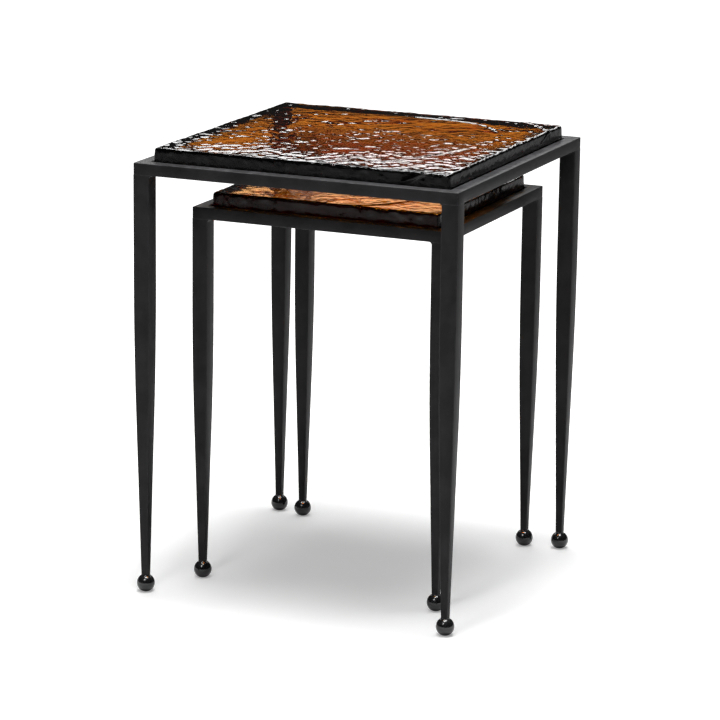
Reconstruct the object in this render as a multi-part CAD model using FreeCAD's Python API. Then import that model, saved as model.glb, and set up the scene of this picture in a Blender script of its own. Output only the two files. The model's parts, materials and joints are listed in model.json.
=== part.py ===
"""Nest of two square side tables: iron frames on tapered legs, each with a loose cast-glass top.

Units are millimetres, +Z is up. The origin is on the floor, under the middle of the large table.
The small table stands inside the large one, nearer its back, with +Y pointing to the back.
Each piece is one closed solid, or a group of equal solids, in its own STEP file.
"""

import FreeCAD
import Part

import math
import os
from dataclasses import dataclass

V = FreeCAD.Vector

# ---- stock and small parts shared by both tables ----
RAIL_WIDTH = 17.0  # flat top land of the frame, seen around the glass
RAIL_HEIGHT = 16.0
EDGE_EASE = 1.0  # rounding of the bars' long edges
WELD_RADIUS = 4.0  # smooth weld between a leg and the rail over it
BALL_DIAMETER = 24.6
BALL_FLAT_DIAMETER = 8.0  # worn flat that a ball foot stands on
BALL_SEAT_DIAMETER = 12.4  # flat on top of the ball that the leg is welded to
LEG_TIP_WIDTH = 9.0
LEG_TAPER_START = 340.0  # height where the straight and the tapered part would meet, on the large table
LEG_BLEND_LENGTH = 90.0  # the blend reaches this far above and below that height
LEDGE_WIDTH = 12.0
LEDGE_THICKNESS = 4.0
PAD_DIAMETER = 9.0
PAD_THICKNESS = 1.5
GLASS_THICKNESS = 25.0
GLASS_PROUD = 18.0  # how far the glass stands above the frame
GLASS_GAP = 2.0  # between the glass and the rail's inner face
GLASS_DRAFT = 1.0  # the sides lean in by this much from bottom to top
GLASS_CORNER_RADIUS = 5.0
GLASS_TOP_ROUND = 3.5
GLASS_BOTTOM_ROUND = 1.5

SIDES = ("front", "back", "left", "right")
CORNERS = ("front_left", "front_right", "back_left", "back_right")


@dataclass(frozen=True)
class Table:
    """The driving sizes of one table of the nest."""

    name: str
    width: float  # along X, over the legs
    depth: float  # along Y, over the legs
    frame_top: float
    leg_width: float
    centre_x: float
    centre_y: float

    @property
    def rail_underside(self):
        return self.frame_top - RAIL_HEIGHT

    @property
    def glass_top(self):
        return self.frame_top + GLASS_PROUD

    @property
    def glass_bottom(self):
        return self.glass_top - GLASS_THICKNESS

    @property
    def ledge_top(self):
        return self.glass_bottom - PAD_THICKNESS


OUTER = Table("outer", 460.0, 454.0, 590.0, 22.6, 0.0, 0.0)
INNER = Table("inner", 368.0, 354.0, 519.0, 22.2, -4.0, 40.0)


def plan_box(width, depth, z_low, z_high):
    """A box centred on the Z axis."""
    return Part.makeBox(width, depth, z_high - z_low, V(-width / 2, -depth / 2, z_low))


def edges_where(shape, test):
    """The shape's edges whose bounding box passes the test."""
    return [edge for edge in shape.Edges if test(edge.BoundBox)]


def corner_signs(corner):
    """-1 or +1 along X and along Y for a named corner."""
    return (-1 if corner.endswith("left") else 1, -1 if corner.startswith("front") else 1)


def mitre_wedge(table, side):
    """The part of the plan that one rail takes, cut at 45 degrees through each corner."""
    half_width = table.width / 2
    half_depth = table.depth / 2
    reach = 2 * RAIL_WIDTH
    run, across = (half_width, half_depth) if side in ("front", "back") else (half_depth, half_width)
    outline = [
        V(-run, -across, 0),
        V(run, -across, 0),
        V(run - reach, -across + reach, 0),
        V(-run + reach, -across + reach, 0),
    ]
    face = Part.Face(Part.makePolygon(outline + outline[:1]))
    wedge = face.extrude(V(0, 0, 2 * table.frame_top))
    turn = {"front": 0, "right": 90, "back": 180, "left": 270}[side]
    wedge.rotate(V(0, 0, 0), V(0, 0, 1), turn)
    return wedge


def make_ring(table):
    """The square top frame in one piece, before it is cut into its mitred rails."""
    outside = plan_box(table.width, table.depth, table.rail_underside, table.frame_top)
    inside = plan_box(
        table.width - 2 * RAIL_WIDTH,
        table.depth - 2 * RAIL_WIDTH,
        table.rail_underside - 1,
        table.frame_top + 1,
    )
    ring = outside.cut(inside)
    upright = edges_where(
        ring, lambda box: box.ZLength > RAIL_HEIGHT / 2 and abs(box.XMin) > table.width / 2 - 1
    )
    ring = ring.makeFillet(EDGE_EASE, upright)
    top = edges_where(ring, lambda box: box.ZMin > table.frame_top - 0.01)
    return ring.makeFillet(EDGE_EASE, top)


def taper_outline(table, tip_z):
    """Side outline of a leg: straight, then an arc, then a straight taper to the tip.

    Returns the face in the XZ plane, centred on the leg's own centre line.
    """
    half_top = table.leg_width / 2
    half_tip = LEG_TIP_WIDTH / 2
    bend_z = LEG_TAPER_START * table.frame_top / OUTER.frame_top
    slope = math.atan2(half_top - half_tip, bend_z - tip_z)
    high = V(half_top, 0, bend_z + LEG_BLEND_LENGTH)
    low = V(
        half_top - LEG_BLEND_LENGTH * math.sin(slope),
        0,
        bend_z - LEG_BLEND_LENGTH * math.cos(slope),
    )
    blend_radius = LEG_BLEND_LENGTH / math.tan(slope / 2)
    middle = V(
        half_top - blend_radius * (1 - math.cos(slope / 2)),
        0,
        high.z - blend_radius * math.sin(slope / 2),
    )
    top = V(half_top, 0, table.rail_underside)
    tip = V(half_tip, 0, tip_z)

    def mirrored(point):
        return V(-point.x, 0, point.z)

    edges = [
        Part.LineSegment(top, high).toShape(),
        Part.Arc(high, middle, low).toShape(),
        Part.LineSegment(low, tip).toShape(),
        Part.LineSegment(tip, mirrored(tip)).toShape(),
        Part.LineSegment(mirrored(tip), mirrored(low)).toShape(),
        Part.Arc(mirrored(low), mirrored(middle), mirrored(high)).toShape(),
        Part.LineSegment(mirrored(high), mirrored(top)).toShape(),
        Part.LineSegment(mirrored(top), top).toShape(),
    ]
    return Part.Face(Part.Wire(edges))


def weld_fillet(table):
    """Concave fillet under a rail, beside the leg's face that looks along +X."""
    face_x = table.leg_width / 2
    top = table.rail_underside
    start = V(face_x, 0, top - WELD_RADIUS)
    end = V(face_x + WELD_RADIUS, 0, top)
    reach = WELD_RADIUS * (1 - math.sqrt(0.5))
    middle = V(face_x + reach, 0, top - reach)
    corner = V(face_x, 0, top)
    edges = [
        Part.Arc(start, middle, end).toShape(),
        Part.LineSegment(end, corner).toShape(),
        Part.LineSegment(corner, start).toShape(),
    ]
    run = RAIL_WIDTH - 2 * EDGE_EASE
    fillet = Part.Face(Part.Wire(edges)).extrude(V(0, run, 0))
    fillet.translate(V(0, -table.leg_width / 2 + EDGE_EASE, 0))
    return fillet


def make_leg(table, corner, seat_z):
    """Square leg that keeps its width, then tapers to its tip on the ball."""
    profile = taper_outline(table, seat_z)
    across_x = profile.extrude(V(0, table.leg_width, 0))
    across_x.translate(V(0, -table.leg_width / 2, 0))
    across_y = across_x.copy()
    across_y.rotate(V(0, 0, 0), V(0, 0, 1), 90)
    leg = across_x.common(across_y)
    long_edges = edges_where(leg, lambda box: box.ZLength > WELD_RADIUS)
    leg = leg.makeFillet(EDGE_EASE, long_edges)
    beside_x = weld_fillet(table)
    beside_y = beside_x.mirror(V(0, 0, 0), V(1, -1, 0))
    leg = leg.fuse([beside_x, beside_y]).removeSplitter()
    sign_x, sign_y = corner_signs(corner)
    if sign_x > 0:
        leg = leg.mirror(V(0, 0, 0), V(1, 0, 0))
    if sign_y > 0:
        leg = leg.mirror(V(0, 0, 0), V(0, 1, 0))
    leg.translate(leg_place(table, corner))
    return leg


def leg_place(table, corner):
    """The point on the floor under the middle of a leg, in the table's own plan."""
    sign_x, sign_y = corner_signs(corner)
    inset = table.leg_width / 2
    return V(sign_x * (table.width / 2 - inset), sign_y * (table.depth / 2 - inset), 0)


def ball_heights():
    """Height of a ball foot's centre, and of the flat that the leg stands on."""
    radius = BALL_DIAMETER / 2
    centre = math.sqrt(radius**2 - (BALL_FLAT_DIAMETER / 2) ** 2)
    seat = centre + math.sqrt(radius**2 - (BALL_SEAT_DIAMETER / 2) ** 2)
    return centre, seat


def make_ball(table, corner):
    """Ball foot with a small flat to stand on and a flat seat for the leg."""
    centre, seat = ball_heights()
    ball = Part.makeSphere(BALL_DIAMETER / 2, V(0, 0, centre))
    ball = ball.common(plan_box(2 * BALL_DIAMETER, 2 * BALL_DIAMETER, 0, seat))
    ball.translate(leg_place(table, corner))
    return ball


def make_ledge(table, side):
    """Flat strip welded inside a rail, under the edge of the glass."""
    long_way = side in ("front", "back")
    sign = -1 if side in ("front", "left") else 1
    inner_width = table.width - 2 * RAIL_WIDTH
    inner_depth = table.depth - 2 * RAIL_WIDTH
    if long_way:
        size = (inner_width, LEDGE_WIDTH)
        place = V(0, sign * (inner_depth - LEDGE_WIDTH) / 2, 0)
    else:
        size = (LEDGE_WIDTH, inner_depth - 2 * LEDGE_WIDTH)
        place = V(sign * (inner_width - LEDGE_WIDTH) / 2, 0, 0)
    ledge = plan_box(size[0], size[1], table.ledge_top - LEDGE_THICKNESS, table.ledge_top)
    ledge.translate(place)
    return ledge


def make_pads(table):
    """Eight clear bumper pads on the ledges, two to a side, that the glass rests on."""
    line_x = table.width / 2 - RAIL_WIDTH - LEDGE_WIDTH / 2
    line_y = table.depth / 2 - RAIL_WIDTH - LEDGE_WIDTH / 2
    quarter_x = table.width / 4
    quarter_y = table.depth / 4
    places = [(x, y) for x in (-quarter_x, quarter_x) for y in (-line_y, line_y)]
    places += [(x, y) for x in (-line_x, line_x) for y in (-quarter_y, quarter_y)]
    pads = [
        Part.makeCylinder(PAD_DIAMETER / 2, PAD_THICKNESS, V(x, y, table.ledge_top)) for x, y in places
    ]
    return Part.makeCompound(pads)


def rounded_plan(width, depth, radius, z):
    """Wire of a rectangle with round corners, centred on the Z axis."""
    box = plan_box(width, depth, z, z + 1)
    upright = edges_where(box, lambda bound: bound.ZLength > 0.5)
    solid = box.makeFillet(radius, upright)
    lowest = min(solid.Faces, key=lambda face: face.CenterOfMass.z)
    return lowest.OuterWire


def make_glass(table):
    """Thick cast slab: sides with a little draft, round plan corners and a soft top edge."""
    width = table.width - 2 * (RAIL_WIDTH + GLASS_GAP)
    depth = table.depth - 2 * (RAIL_WIDTH + GLASS_GAP)
    bottom = rounded_plan(width, depth, GLASS_CORNER_RADIUS, table.glass_bottom)
    top = rounded_plan(
        width - 2 * GLASS_DRAFT,
        depth - 2 * GLASS_DRAFT,
        GLASS_CORNER_RADIUS - GLASS_DRAFT / 2,
        table.glass_top,
    )
    slab = Part.makeLoft([bottom, top], True, True)
    rim = edges_where(slab, lambda box: box.ZMin > table.glass_top - 0.01)
    slab = slab.makeFillet(GLASS_TOP_ROUND, rim)
    base = edges_where(slab, lambda box: box.ZMax < table.glass_bottom + 0.01)
    return slab.makeFillet(GLASS_BOTTOM_ROUND, base)


def make_table(table):
    """Every piece of one table by node name, in place."""
    ring = make_ring(table)
    seat_z = ball_heights()[1]
    pieces = {}
    for side in SIDES:
        pieces[f"{table.name}_rail_{side}"] = ring.common(mitre_wedge(table, side))
        pieces[f"{table.name}_ledge_{side}"] = make_ledge(table, side)
    for corner in CORNERS:
        pieces[f"{table.name}_leg_{corner}"] = make_leg(table, corner, seat_z)
        pieces[f"{table.name}_ball_foot_{corner}"] = make_ball(table, corner)
    pieces[f"{table.name}_glass_pads"] = make_pads(table)
    pieces[f"{table.name}_glass_top"] = make_glass(table)
    for piece in pieces.values():
        piece.translate(V(table.centre_x, table.centre_y, 0))
    return pieces


def main():
    """Write one STEP file per piece."""
    os.makedirs("parts", exist_ok=True)
    for table in (OUTER, INNER):
        for node, shape in make_table(table).items():
            box = shape.BoundBox
            print(
                f"{node:28s} solids {len(shape.Solids)} valid {shape.isValid()}"
                f" volume {shape.Volume / 1000:8.2f} cm3"
                f" z {box.ZMin:7.2f} to {box.ZMax:7.2f}"
            )
            shape.exportStep(f"parts/{node}.step")


main()
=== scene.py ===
import json
import logging
import math
from contextlib import contextmanager
from dataclasses import dataclass
from enum import Enum
from typing import Callable, Iterator

import bmesh
import bpy
from mathutils import Matrix, Vector

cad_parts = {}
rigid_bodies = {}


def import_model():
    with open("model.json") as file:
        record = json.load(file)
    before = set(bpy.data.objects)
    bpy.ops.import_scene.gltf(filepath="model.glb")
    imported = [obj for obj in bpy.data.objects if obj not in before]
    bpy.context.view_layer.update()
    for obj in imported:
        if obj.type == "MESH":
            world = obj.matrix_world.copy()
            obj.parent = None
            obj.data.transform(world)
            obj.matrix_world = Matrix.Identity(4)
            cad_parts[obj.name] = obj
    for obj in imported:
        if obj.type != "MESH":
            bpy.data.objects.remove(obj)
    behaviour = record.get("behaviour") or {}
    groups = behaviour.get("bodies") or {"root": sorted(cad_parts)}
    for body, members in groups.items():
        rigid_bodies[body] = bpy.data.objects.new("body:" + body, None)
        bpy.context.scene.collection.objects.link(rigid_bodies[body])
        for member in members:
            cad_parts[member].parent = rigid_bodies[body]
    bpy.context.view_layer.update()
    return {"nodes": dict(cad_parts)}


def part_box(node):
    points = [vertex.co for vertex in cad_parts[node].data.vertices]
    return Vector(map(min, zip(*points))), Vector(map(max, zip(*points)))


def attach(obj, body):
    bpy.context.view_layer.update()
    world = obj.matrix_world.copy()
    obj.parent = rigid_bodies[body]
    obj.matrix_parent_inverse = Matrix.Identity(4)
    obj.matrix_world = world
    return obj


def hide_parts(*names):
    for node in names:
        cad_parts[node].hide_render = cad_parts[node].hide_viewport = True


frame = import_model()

LOG = logging.getLogger("nest_of_tables")

Piece = bpy.types.Object
Edge = bmesh.types.BMEdge
Socket = bpy.types.NodeSocket
Colour = tuple[float, float, float]

MM = 0.001
TINY = 0.01 * MM  # two places nearer than this are one
X, Y, Z = Vector((1, 0, 0)), Vector((0, 1, 0)), Vector((0, 0, 1))
BED_SIDE = "bed_side"  # mesh attribute: 1 where the glass lay on its casting bed
RIM_SHADE = "rim_smoke"  # mesh attribute: how much painted shade darkens the top near its edges
CRISP_BAR, CRISP_BALL, CRISP_PAD = 40, 50, 45  # degrees past which an edge is shaded crisp


# ---------------------------------------------------------------------------
# Bench: selecting, editing and finishing a piece
# ---------------------------------------------------------------------------


class Pick(Enum):
    """What an edit-mode selection is made of."""

    VERTS = "VERT"
    EDGES = "EDGE"
    FACES = "FACE"


class Corner(Enum):
    """The four corners of a table, as signs along X and Y."""

    FRONT_LEFT = (-1, -1)
    FRONT_RIGHT = (1, -1)
    BACK_LEFT = (-1, 1)
    BACK_RIGHT = (1, 1)

    @property
    def label(self) -> str:
        """The corner's name as the CAD nodes spell it."""
        return self.name.lower()


class Side(Enum):
    """The four sides of a table, as the outward direction of each."""

    FRONT = (0, -1)
    BACK = (0, 1)
    LEFT = (-1, 0)
    RIGHT = (1, 0)

    @property
    def label(self) -> str:
        """The side's name as the CAD nodes spell it."""
        return self.name.lower()


def deselect_all() -> None:
    """Leave nothing selected."""
    for other in bpy.context.view_layer.objects:
        other.select_set(False)


def make_active(piece: Piece) -> None:
    """Select one piece alone and make it the active one.

    Args:
        piece: The piece to work on.
    """
    deselect_all()
    piece.select_set(True)
    bpy.context.view_layer.objects.active = piece


@contextmanager
def editing(piece: Piece) -> Iterator[None]:
    """Open a piece in edit mode with nothing selected, and close it afterwards.

    Args:
        piece: The piece to edit.
    """
    make_active(piece)
    bpy.ops.object.mode_set(mode="EDIT")
    bpy.ops.mesh.select_all(action="DESELECT")
    yield
    bpy.ops.object.mode_set(mode="OBJECT")


def pick(piece: Piece, kind: Pick, test: Callable[[object], bool]) -> None:
    """Select the elements of the piece in edit mode that pass a test, and no others.

    Args:
        piece: The piece, already in edit mode.
        kind: Whether vertices, edges or faces are picked.
        test: Called with each bmesh element.
    """
    bpy.ops.mesh.select_mode(type=kind.value)
    shell = bmesh.from_edit_mesh(piece.data)
    for element in [*shell.verts, *shell.edges, *shell.faces]:
        element.select_set(False)
    elements = {Pick.VERTS: shell.verts, Pick.EDGES: shell.edges, Pick.FACES: shell.faces}[kind]
    for element in [element for element in elements if test(element)]:
        element.select_set(True)
    shell.select_flush_mode()
    bmesh.update_edit_mesh(piece.data)


def soften(offset: float, segments: int) -> None:
    """Round the edges that are selected in edit mode."""
    bpy.ops.mesh.bevel(offset=offset, segments=segments, profile=0.5)


def edge_middle(edge: Edge) -> Vector:
    """The middle point of an edge."""
    return (edge.verts[0].co + edge.verts[1].co) / 2


def edge_run(edge: Edge) -> Vector:
    """The size of an edge along each axis."""
    run = edge.verts[1].co - edge.verts[0].co
    return Vector((abs(run.x), abs(run.y), abs(run.z)))


def rename(piece: Piece, name: str) -> Piece:
    """Name a piece and its mesh alike.

    Args:
        piece: The piece.
        name: The name that both take.

    Returns:
        The same piece.
    """
    piece.name = name
    piece.data.name = name
    return piece


def settle(piece: Piece, name: str) -> Piece:
    """Name a piece and apply its place, so that the object sits at the origin.

    Args:
        piece: The new object.
        name: The name that it and its mesh take.

    Returns:
        The same piece.
    """
    make_active(piece)
    bpy.ops.object.transform_apply(location=True, rotation=True, scale=True)
    return rename(piece, name)


def add_primitive(name: str, operator: Callable[..., object], **settings: object) -> Piece:
    """Add a primitive with nothing else selected, and apply its place.

    Args:
        name: The piece's name.
        operator: The operator that adds it.
        settings: Its size and place.

    Returns:
        The new piece.
    """
    deselect_all()
    operator(**settings)
    return settle(bpy.context.active_object, name)


def add_block(name: str, low: Vector, high: Vector) -> Piece:
    """Add a block at its size and place.

    Args:
        name: The piece's name.
        low: Its lowest corner.
        high: Its highest corner.

    Returns:
        The new piece.
    """
    centre = (low + high) / 2
    return add_primitive(
        name, bpy.ops.mesh.primitive_cube_add, size=1.0, location=centre, scale=high - low
    )


def finish_with(piece: Piece, kind: str, **settings: object) -> None:
    """Add a modifier to a piece and apply it at once.

    Args:
        piece: The piece.
        kind: Blender's name for the modifier.
        settings: The modifier's own settings.
    """
    make_active(piece)
    modifier = piece.modifiers.new(kind.title(), kind)
    for key, value in settings.items():
        setattr(modifier, key, value)
    bpy.ops.object.modifier_apply(modifier=modifier.name)


def copy_piece(piece: Piece, name: str) -> Piece:
    """Copy a piece with a mesh of its own.

    Args:
        piece: The piece to copy.
        name: The copy's name.

    Returns:
        The copy.
    """
    make_active(piece)
    bpy.ops.object.duplicate(linked=False)
    return rename(bpy.context.active_object, name)


def join_pieces(pieces: list[Piece], name: str) -> Piece:
    """Join several pieces into the first of them.

    Args:
        pieces: The pieces to join.
        name: The joined piece's name.

    Returns:
        The joined piece.
    """
    make_active(pieces[0])
    for piece in pieces[1:]:
        piece.select_set(True)
    bpy.ops.object.join()
    return rename(bpy.context.active_object, name)


def cut(place: Vector, normal: Vector, close: bool = False) -> None:
    """Cut the whole piece in edit mode along a plane.

    Args:
        place: A point of the plane.
        normal: The plane's normal.
        close: Whether what lies past the plane goes and the cut is filled.
    """
    bpy.ops.mesh.select_all(action="SELECT")
    bpy.ops.mesh.bisect(
        plane_co=place, plane_no=normal, use_fill=close, clear_outer=close, threshold=0.001 * MM
    )


def tidy_shell(piece: Piece) -> None:
    """Merge doubled vertices and turn every face outwards.

    Args:
        piece: The piece.
    """
    with editing(piece):
        bpy.ops.mesh.select_all(action="SELECT")
        bpy.ops.mesh.remove_doubles(threshold=0.002 * MM)
        bpy.ops.mesh.normals_make_consistent(inside=False)


def smooth_by_angle(piece: Piece, degrees: float) -> Piece:
    """Shade a piece smooth, but keep its sharper edges crisp.

    Args:
        piece: The piece.
        degrees: The angle between two faces past which their edge stays crisp.

    Returns:
        The same piece.
    """
    make_active(piece)
    bpy.ops.object.shade_smooth_by_angle(angle=math.radians(degrees))
    return piece


def noise_texture(name: str, grain: float, depth: int) -> bpy.types.Texture:
    """A soft cloud texture for a Displace modifier.

    Args:
        name: The texture's name.
        grain: Its grain size in metres.
        depth: How many finer layers it holds.

    Returns:
        The texture.
    """
    texture = bpy.data.textures.new(name, "CLOUDS")
    texture.noise_scale = grain
    texture.noise_depth = depth
    texture.noise_basis = "ORIGINAL_PERLIN"
    return texture


def weigh(piece: Piece, name: str, weight: Callable[[Vector], float]) -> str:
    """Give a piece a vertex group whose weight follows a rule of place.

    Args:
        piece: The piece.
        name: The group's name.
        weight: The weight from 0 to 1 at a point.

    Returns:
        The group's name, as a modifier wants it.
    """
    group = piece.vertex_groups.new(name=name)
    least = 0.001
    for vertex in piece.data.vertices:
        share = weight(vertex.co)
        if share > least:
            group.add([vertex.index], min(1.0, share), "REPLACE")
    return group.name


def ease(value: float, start: float, end: float) -> float:
    """A smooth step from 0 at start to 1 at end."""
    share = max(0.0, min(1.0, (value - start) / (end - start)))
    return share * share * (3 - 2 * share)


# ---------------------------------------------------------------------------
# Shader work: small builders and the effects that finishes share
# ---------------------------------------------------------------------------


class NodeBench:
    """Adds nodes to one tree and fills their inputs by name."""

    def __init__(self, tree: bpy.types.NodeTree) -> None:
        """Keep the tree that nodes go to."""
        self.tree = tree

    def fill(self, node: bpy.types.Node, inputs: dict[str | int, object]) -> None:
        """Link sockets to a node's inputs, and set plain values on them.

        Args:
            node: The node.
            inputs: Values or sockets, by the input's name or number.
        """
        for key, value in inputs.items():
            if isinstance(value, Socket):
                self.tree.links.new(value, node.inputs[key])
            else:
                node.inputs[key].default_value = value

    def add(
        self, kind: str, inputs: dict[str | int, object] | None = None, **settings: object
    ) -> bpy.types.Node:
        """Add one node.

        Args:
            kind: Blender's type name for the node.
            inputs: Values or sockets for its inputs.
            settings: The node's own settings.

        Returns:
            The node.
        """
        node = self.tree.nodes.new(kind)
        for key, value in settings.items():
            setattr(node, key, value)
        self.fill(node, inputs or {})
        return node

    def place(self) -> Socket:
        """The place on the piece, in metres from the object's origin."""
        return self.add("ShaderNodeTexCoord").outputs["Object"]

    def facing_up(self) -> Socket:
        """How far the surface faces up, from -1 to 1."""
        normal = self.add("ShaderNodeNewGeometry").outputs["Normal"]
        return self.add("ShaderNodeSeparateXYZ", {0: normal}).outputs["Z"]

    def maths(self, operation: str, *values: object) -> Socket:
        """The value of a Math node on some values or sockets."""
        return self.add("ShaderNodeMath", dict(enumerate(values)), operation=operation).outputs[0]

    def blend(self, share: object, first: object, second: object) -> Socket:
        """A mix of two colours, from the first at share 0 to the second at 1."""
        node = self.add("ShaderNodeMix", {0: share, 6: first, 7: second}, data_type="RGBA")
        return node.outputs[2]

    def noise(self, place: Socket, per_metre: float, detail: float) -> Socket:
        """A Noise texture's value, with its scale in features per metre."""
        inputs = {"Vector": place, "Scale": per_metre, "Detail": detail}
        return self.add("ShaderNodeTexNoise", inputs).outputs["Fac"]

    def span(
        self, value: object, low: float, high: float, out_low: float = 0.0, out_high: float = 1.0
    ) -> Socket:
        """A value mapped smoothly from one range to another.

        Args:
            value: The value or socket.
            low: Start of the range it comes from.
            high: End of that range.
            out_low: Start of the new range.
            out_high: End of the new range.

        Returns:
            The value socket.
        """
        inputs = {
            "Value": value, "From Min": low, "From Max": high, "To Min": out_low, "To Max": out_high
        }
        node = self.add("ShaderNodeMapRange", inputs, interpolation_type="SMOOTHSTEP")
        return node.outputs["Result"]

    def bump(self, height: Socket, strength: float, distance: float) -> Socket:
        """The normal of a surface raised by a height."""
        inputs = {"Strength": strength, "Distance": distance, "Height": height}
        return self.add("ShaderNodeBump", inputs).outputs["Normal"]


class EffectBench(NodeBench):
    """A shared node group in the making, whose sockets are all plain values."""

    def __init__(self, name: str, inputs: dict[str, float], outputs: tuple[str, ...]) -> None:
        """Start the group.

        Args:
            name: The group's name.
            inputs: Default by input name.
            outputs: The outputs' names.
        """
        tree = bpy.data.node_groups.new(name, "ShaderNodeTree")
        kind = "NodeSocketFloat"
        for key, default in inputs.items():
            socket = tree.interface.new_socket(name=key, in_out="INPUT", socket_type=kind)
            socket.default_value = default
        for key in outputs:
            tree.interface.new_socket(name=key, in_out="OUTPUT", socket_type=kind)
        super().__init__(tree)
        self.given = self.add("NodeGroupInput").outputs
        self.sink = self.add("NodeGroupOutput")


class FinishBench(NodeBench):
    """A material in the making, with its Principled BSDF and its output node."""

    def __init__(self, name: str) -> None:
        """Start the material.

        Args:
            name: Its name.
        """
        self.material = bpy.data.materials.new(name)
        self.material.use_nodes = True
        super().__init__(self.material.node_tree)
        self.tree.nodes.clear()
        self.shader = self.add("ShaderNodeBsdfPrincipled")
        surface = {"Surface": self.shader.outputs["BSDF"]}
        self.output = self.add("ShaderNodeOutputMaterial", surface)

    def effect(self, tree: bpy.types.NodeTree, values: dict[str, float]) -> bpy.types.NodeOutputs:
        """Place a shared effect with its own values.

        Args:
            tree: The effect's node group.
            values: The group's inputs.

        Returns:
            The group's outputs, by name.
        """
        return self.add("ShaderNodeGroup", values, node_tree=tree).outputs


class SharedEffects:
    """The node groups that more than one finish uses, each built once."""

    def __init__(self) -> None:
        """Build every group."""
        self.paint_skin = self._paint_skin()
        self.edge_rub = self._edge_rub()
        self.dust = self._dust()

    @staticmethod
    def _paint_skin() -> bpy.types.NodeTree:
        """Powder-coat skin over bar: fine orange peel, slow waves and uneven colour.

        Returns:
            The group.
        """
        bench = EffectBench("paint_skin", {"Peel": 1.0, "Waves": 1.0}, ("Height", "Mottle"))
        place = bench.place()
        peel_share = 0.06
        fine = bench.maths("MULTIPLY", bench.noise(place, 1400.0, 2.0), bench.given["Peel"])
        slow = bench.maths("MULTIPLY", bench.noise(place, 55.0, 2.0), bench.given["Waves"])
        height = bench.maths("MULTIPLY_ADD", fine, peel_share, slow)
        bench.fill(bench.sink, {"Height": height, "Mottle": bench.noise(place, 24.0, 4.0)})
        return bench.tree

    @staticmethod
    def _edge_rub() -> bpy.types.NodeTree:
        """Mask of the long edges, broken up, where handling has polished the paint and where the
        edges take a painted highlight.

        Returns:
            The group.
        """
        bench = EffectBench("edge_rub", {"Reach": 0.0015, "Breakup": 0.6}, ("Mask",))
        rounded = bench.add("ShaderNodeBevel", {"Radius": bench.given["Reach"]}, samples=4)
        plain = bench.add("ShaderNodeNewGeometry").outputs["Normal"]
        normals = {0: rounded.outputs[0], 1: plain}
        turned = bench.add("ShaderNodeVectorMath", normals, operation="DOT_PRODUCT")
        edge = bench.span(turned.outputs["Value"], 0.999, 0.93)
        worn = bench.span(bench.noise(bench.place(), 180.0, 4.0), 0.35, 0.65)
        patchy = bench.maths("MULTIPLY", worn, bench.given["Breakup"])
        whole = bench.maths("SUBTRACT", 1.0, bench.given["Breakup"])
        share = bench.maths("ADD", patchy, whole)
        bench.fill(bench.sink, {"Mask": bench.maths("MULTIPLY", edge, share)})
        return bench.tree

    @staticmethod
    def _dust() -> bpy.types.NodeTree:
        """Mask of faint dust and wiping haze on what faces up.

        Returns:
            The group.
        """
        bench = EffectBench("dust", {"Amount": 0.1}, ("Mask",))
        facing = bench.span(bench.facing_up(), 0.2, 0.95)
        specks = bench.span(bench.noise(bench.place(), 90.0, 5.0), 0.45, 0.75, 0.2, 1.0)
        mask = bench.maths("MULTIPLY", facing, specks)
        bench.fill(bench.sink, {"Mask": bench.maths("MULTIPLY", mask, bench.given["Amount"])})
        return bench.tree


@dataclass(frozen=True)
class BlackIron:
    """Black paint over iron bar, from satin rails to the glossier ball feet."""

    name: str
    colour: Colour
    # colour of the long edges: partly worn paint, partly a painted highlight
    worn_colour: Colour
    roughness: float
    specular: float
    coat: float
    peel: float
    waves: float
    relief: float  # strength of the skin's bumps
    roughness_swing: float = 0.05
    rub_polish: float = 0.10  # how much smoother a rubbed edge is
    dust_colour: Colour = (0.30, 0.30, 0.31)

    def material(self, effects: SharedEffects) -> bpy.types.Material:
        """Build the finish.

        Args:
            effects: The shared node groups.

        Returns:
            The material.
        """
        bench = FinishBench(self.name)
        skin = bench.effect(effects.paint_skin, {"Peel": self.peel, "Waves": self.waves})
        wear_and_highlight = bench.effect(effects.edge_rub, {"Reach": 1.6 * MM, "Breakup": 0.7})["Mask"]
        dust = bench.effect(effects.dust, {"Amount": 0.10})["Mask"]
        patches = bench.span(skin["Mottle"], 0.3, 0.7)
        darker = tuple(0.6 * part for part in self.colour)
        painted = bench.blend(patches, (*darker, 1), (*self.colour, 1))
        # painted highlight: the long edges lightened, partly as worn paint
        worn_and_highlit = bench.blend(wear_and_highlight, painted, (*self.worn_colour, 1))
        low = self.roughness - self.roughness_swing
        high = self.roughness + self.roughness_swing
        rough = bench.span(skin["Mottle"], 0.3, 0.7, low, high)
        polish = bench.maths("MULTIPLY", wear_and_highlight, self.rub_polish)
        bench.fill(bench.shader, {
            "Base Color": bench.blend(dust, worn_and_highlit, (*self.dust_colour, 1)),
            "Roughness": bench.maths("SUBTRACT", rough, polish),
            "Normal": bench.bump(skin["Height"], self.relief, 0.4 * MM),
            "Specular IOR Level": self.specular,
            "Coat Weight": self.coat,
            "Coat Roughness": 0.08,
        })
        return bench.material


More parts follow.
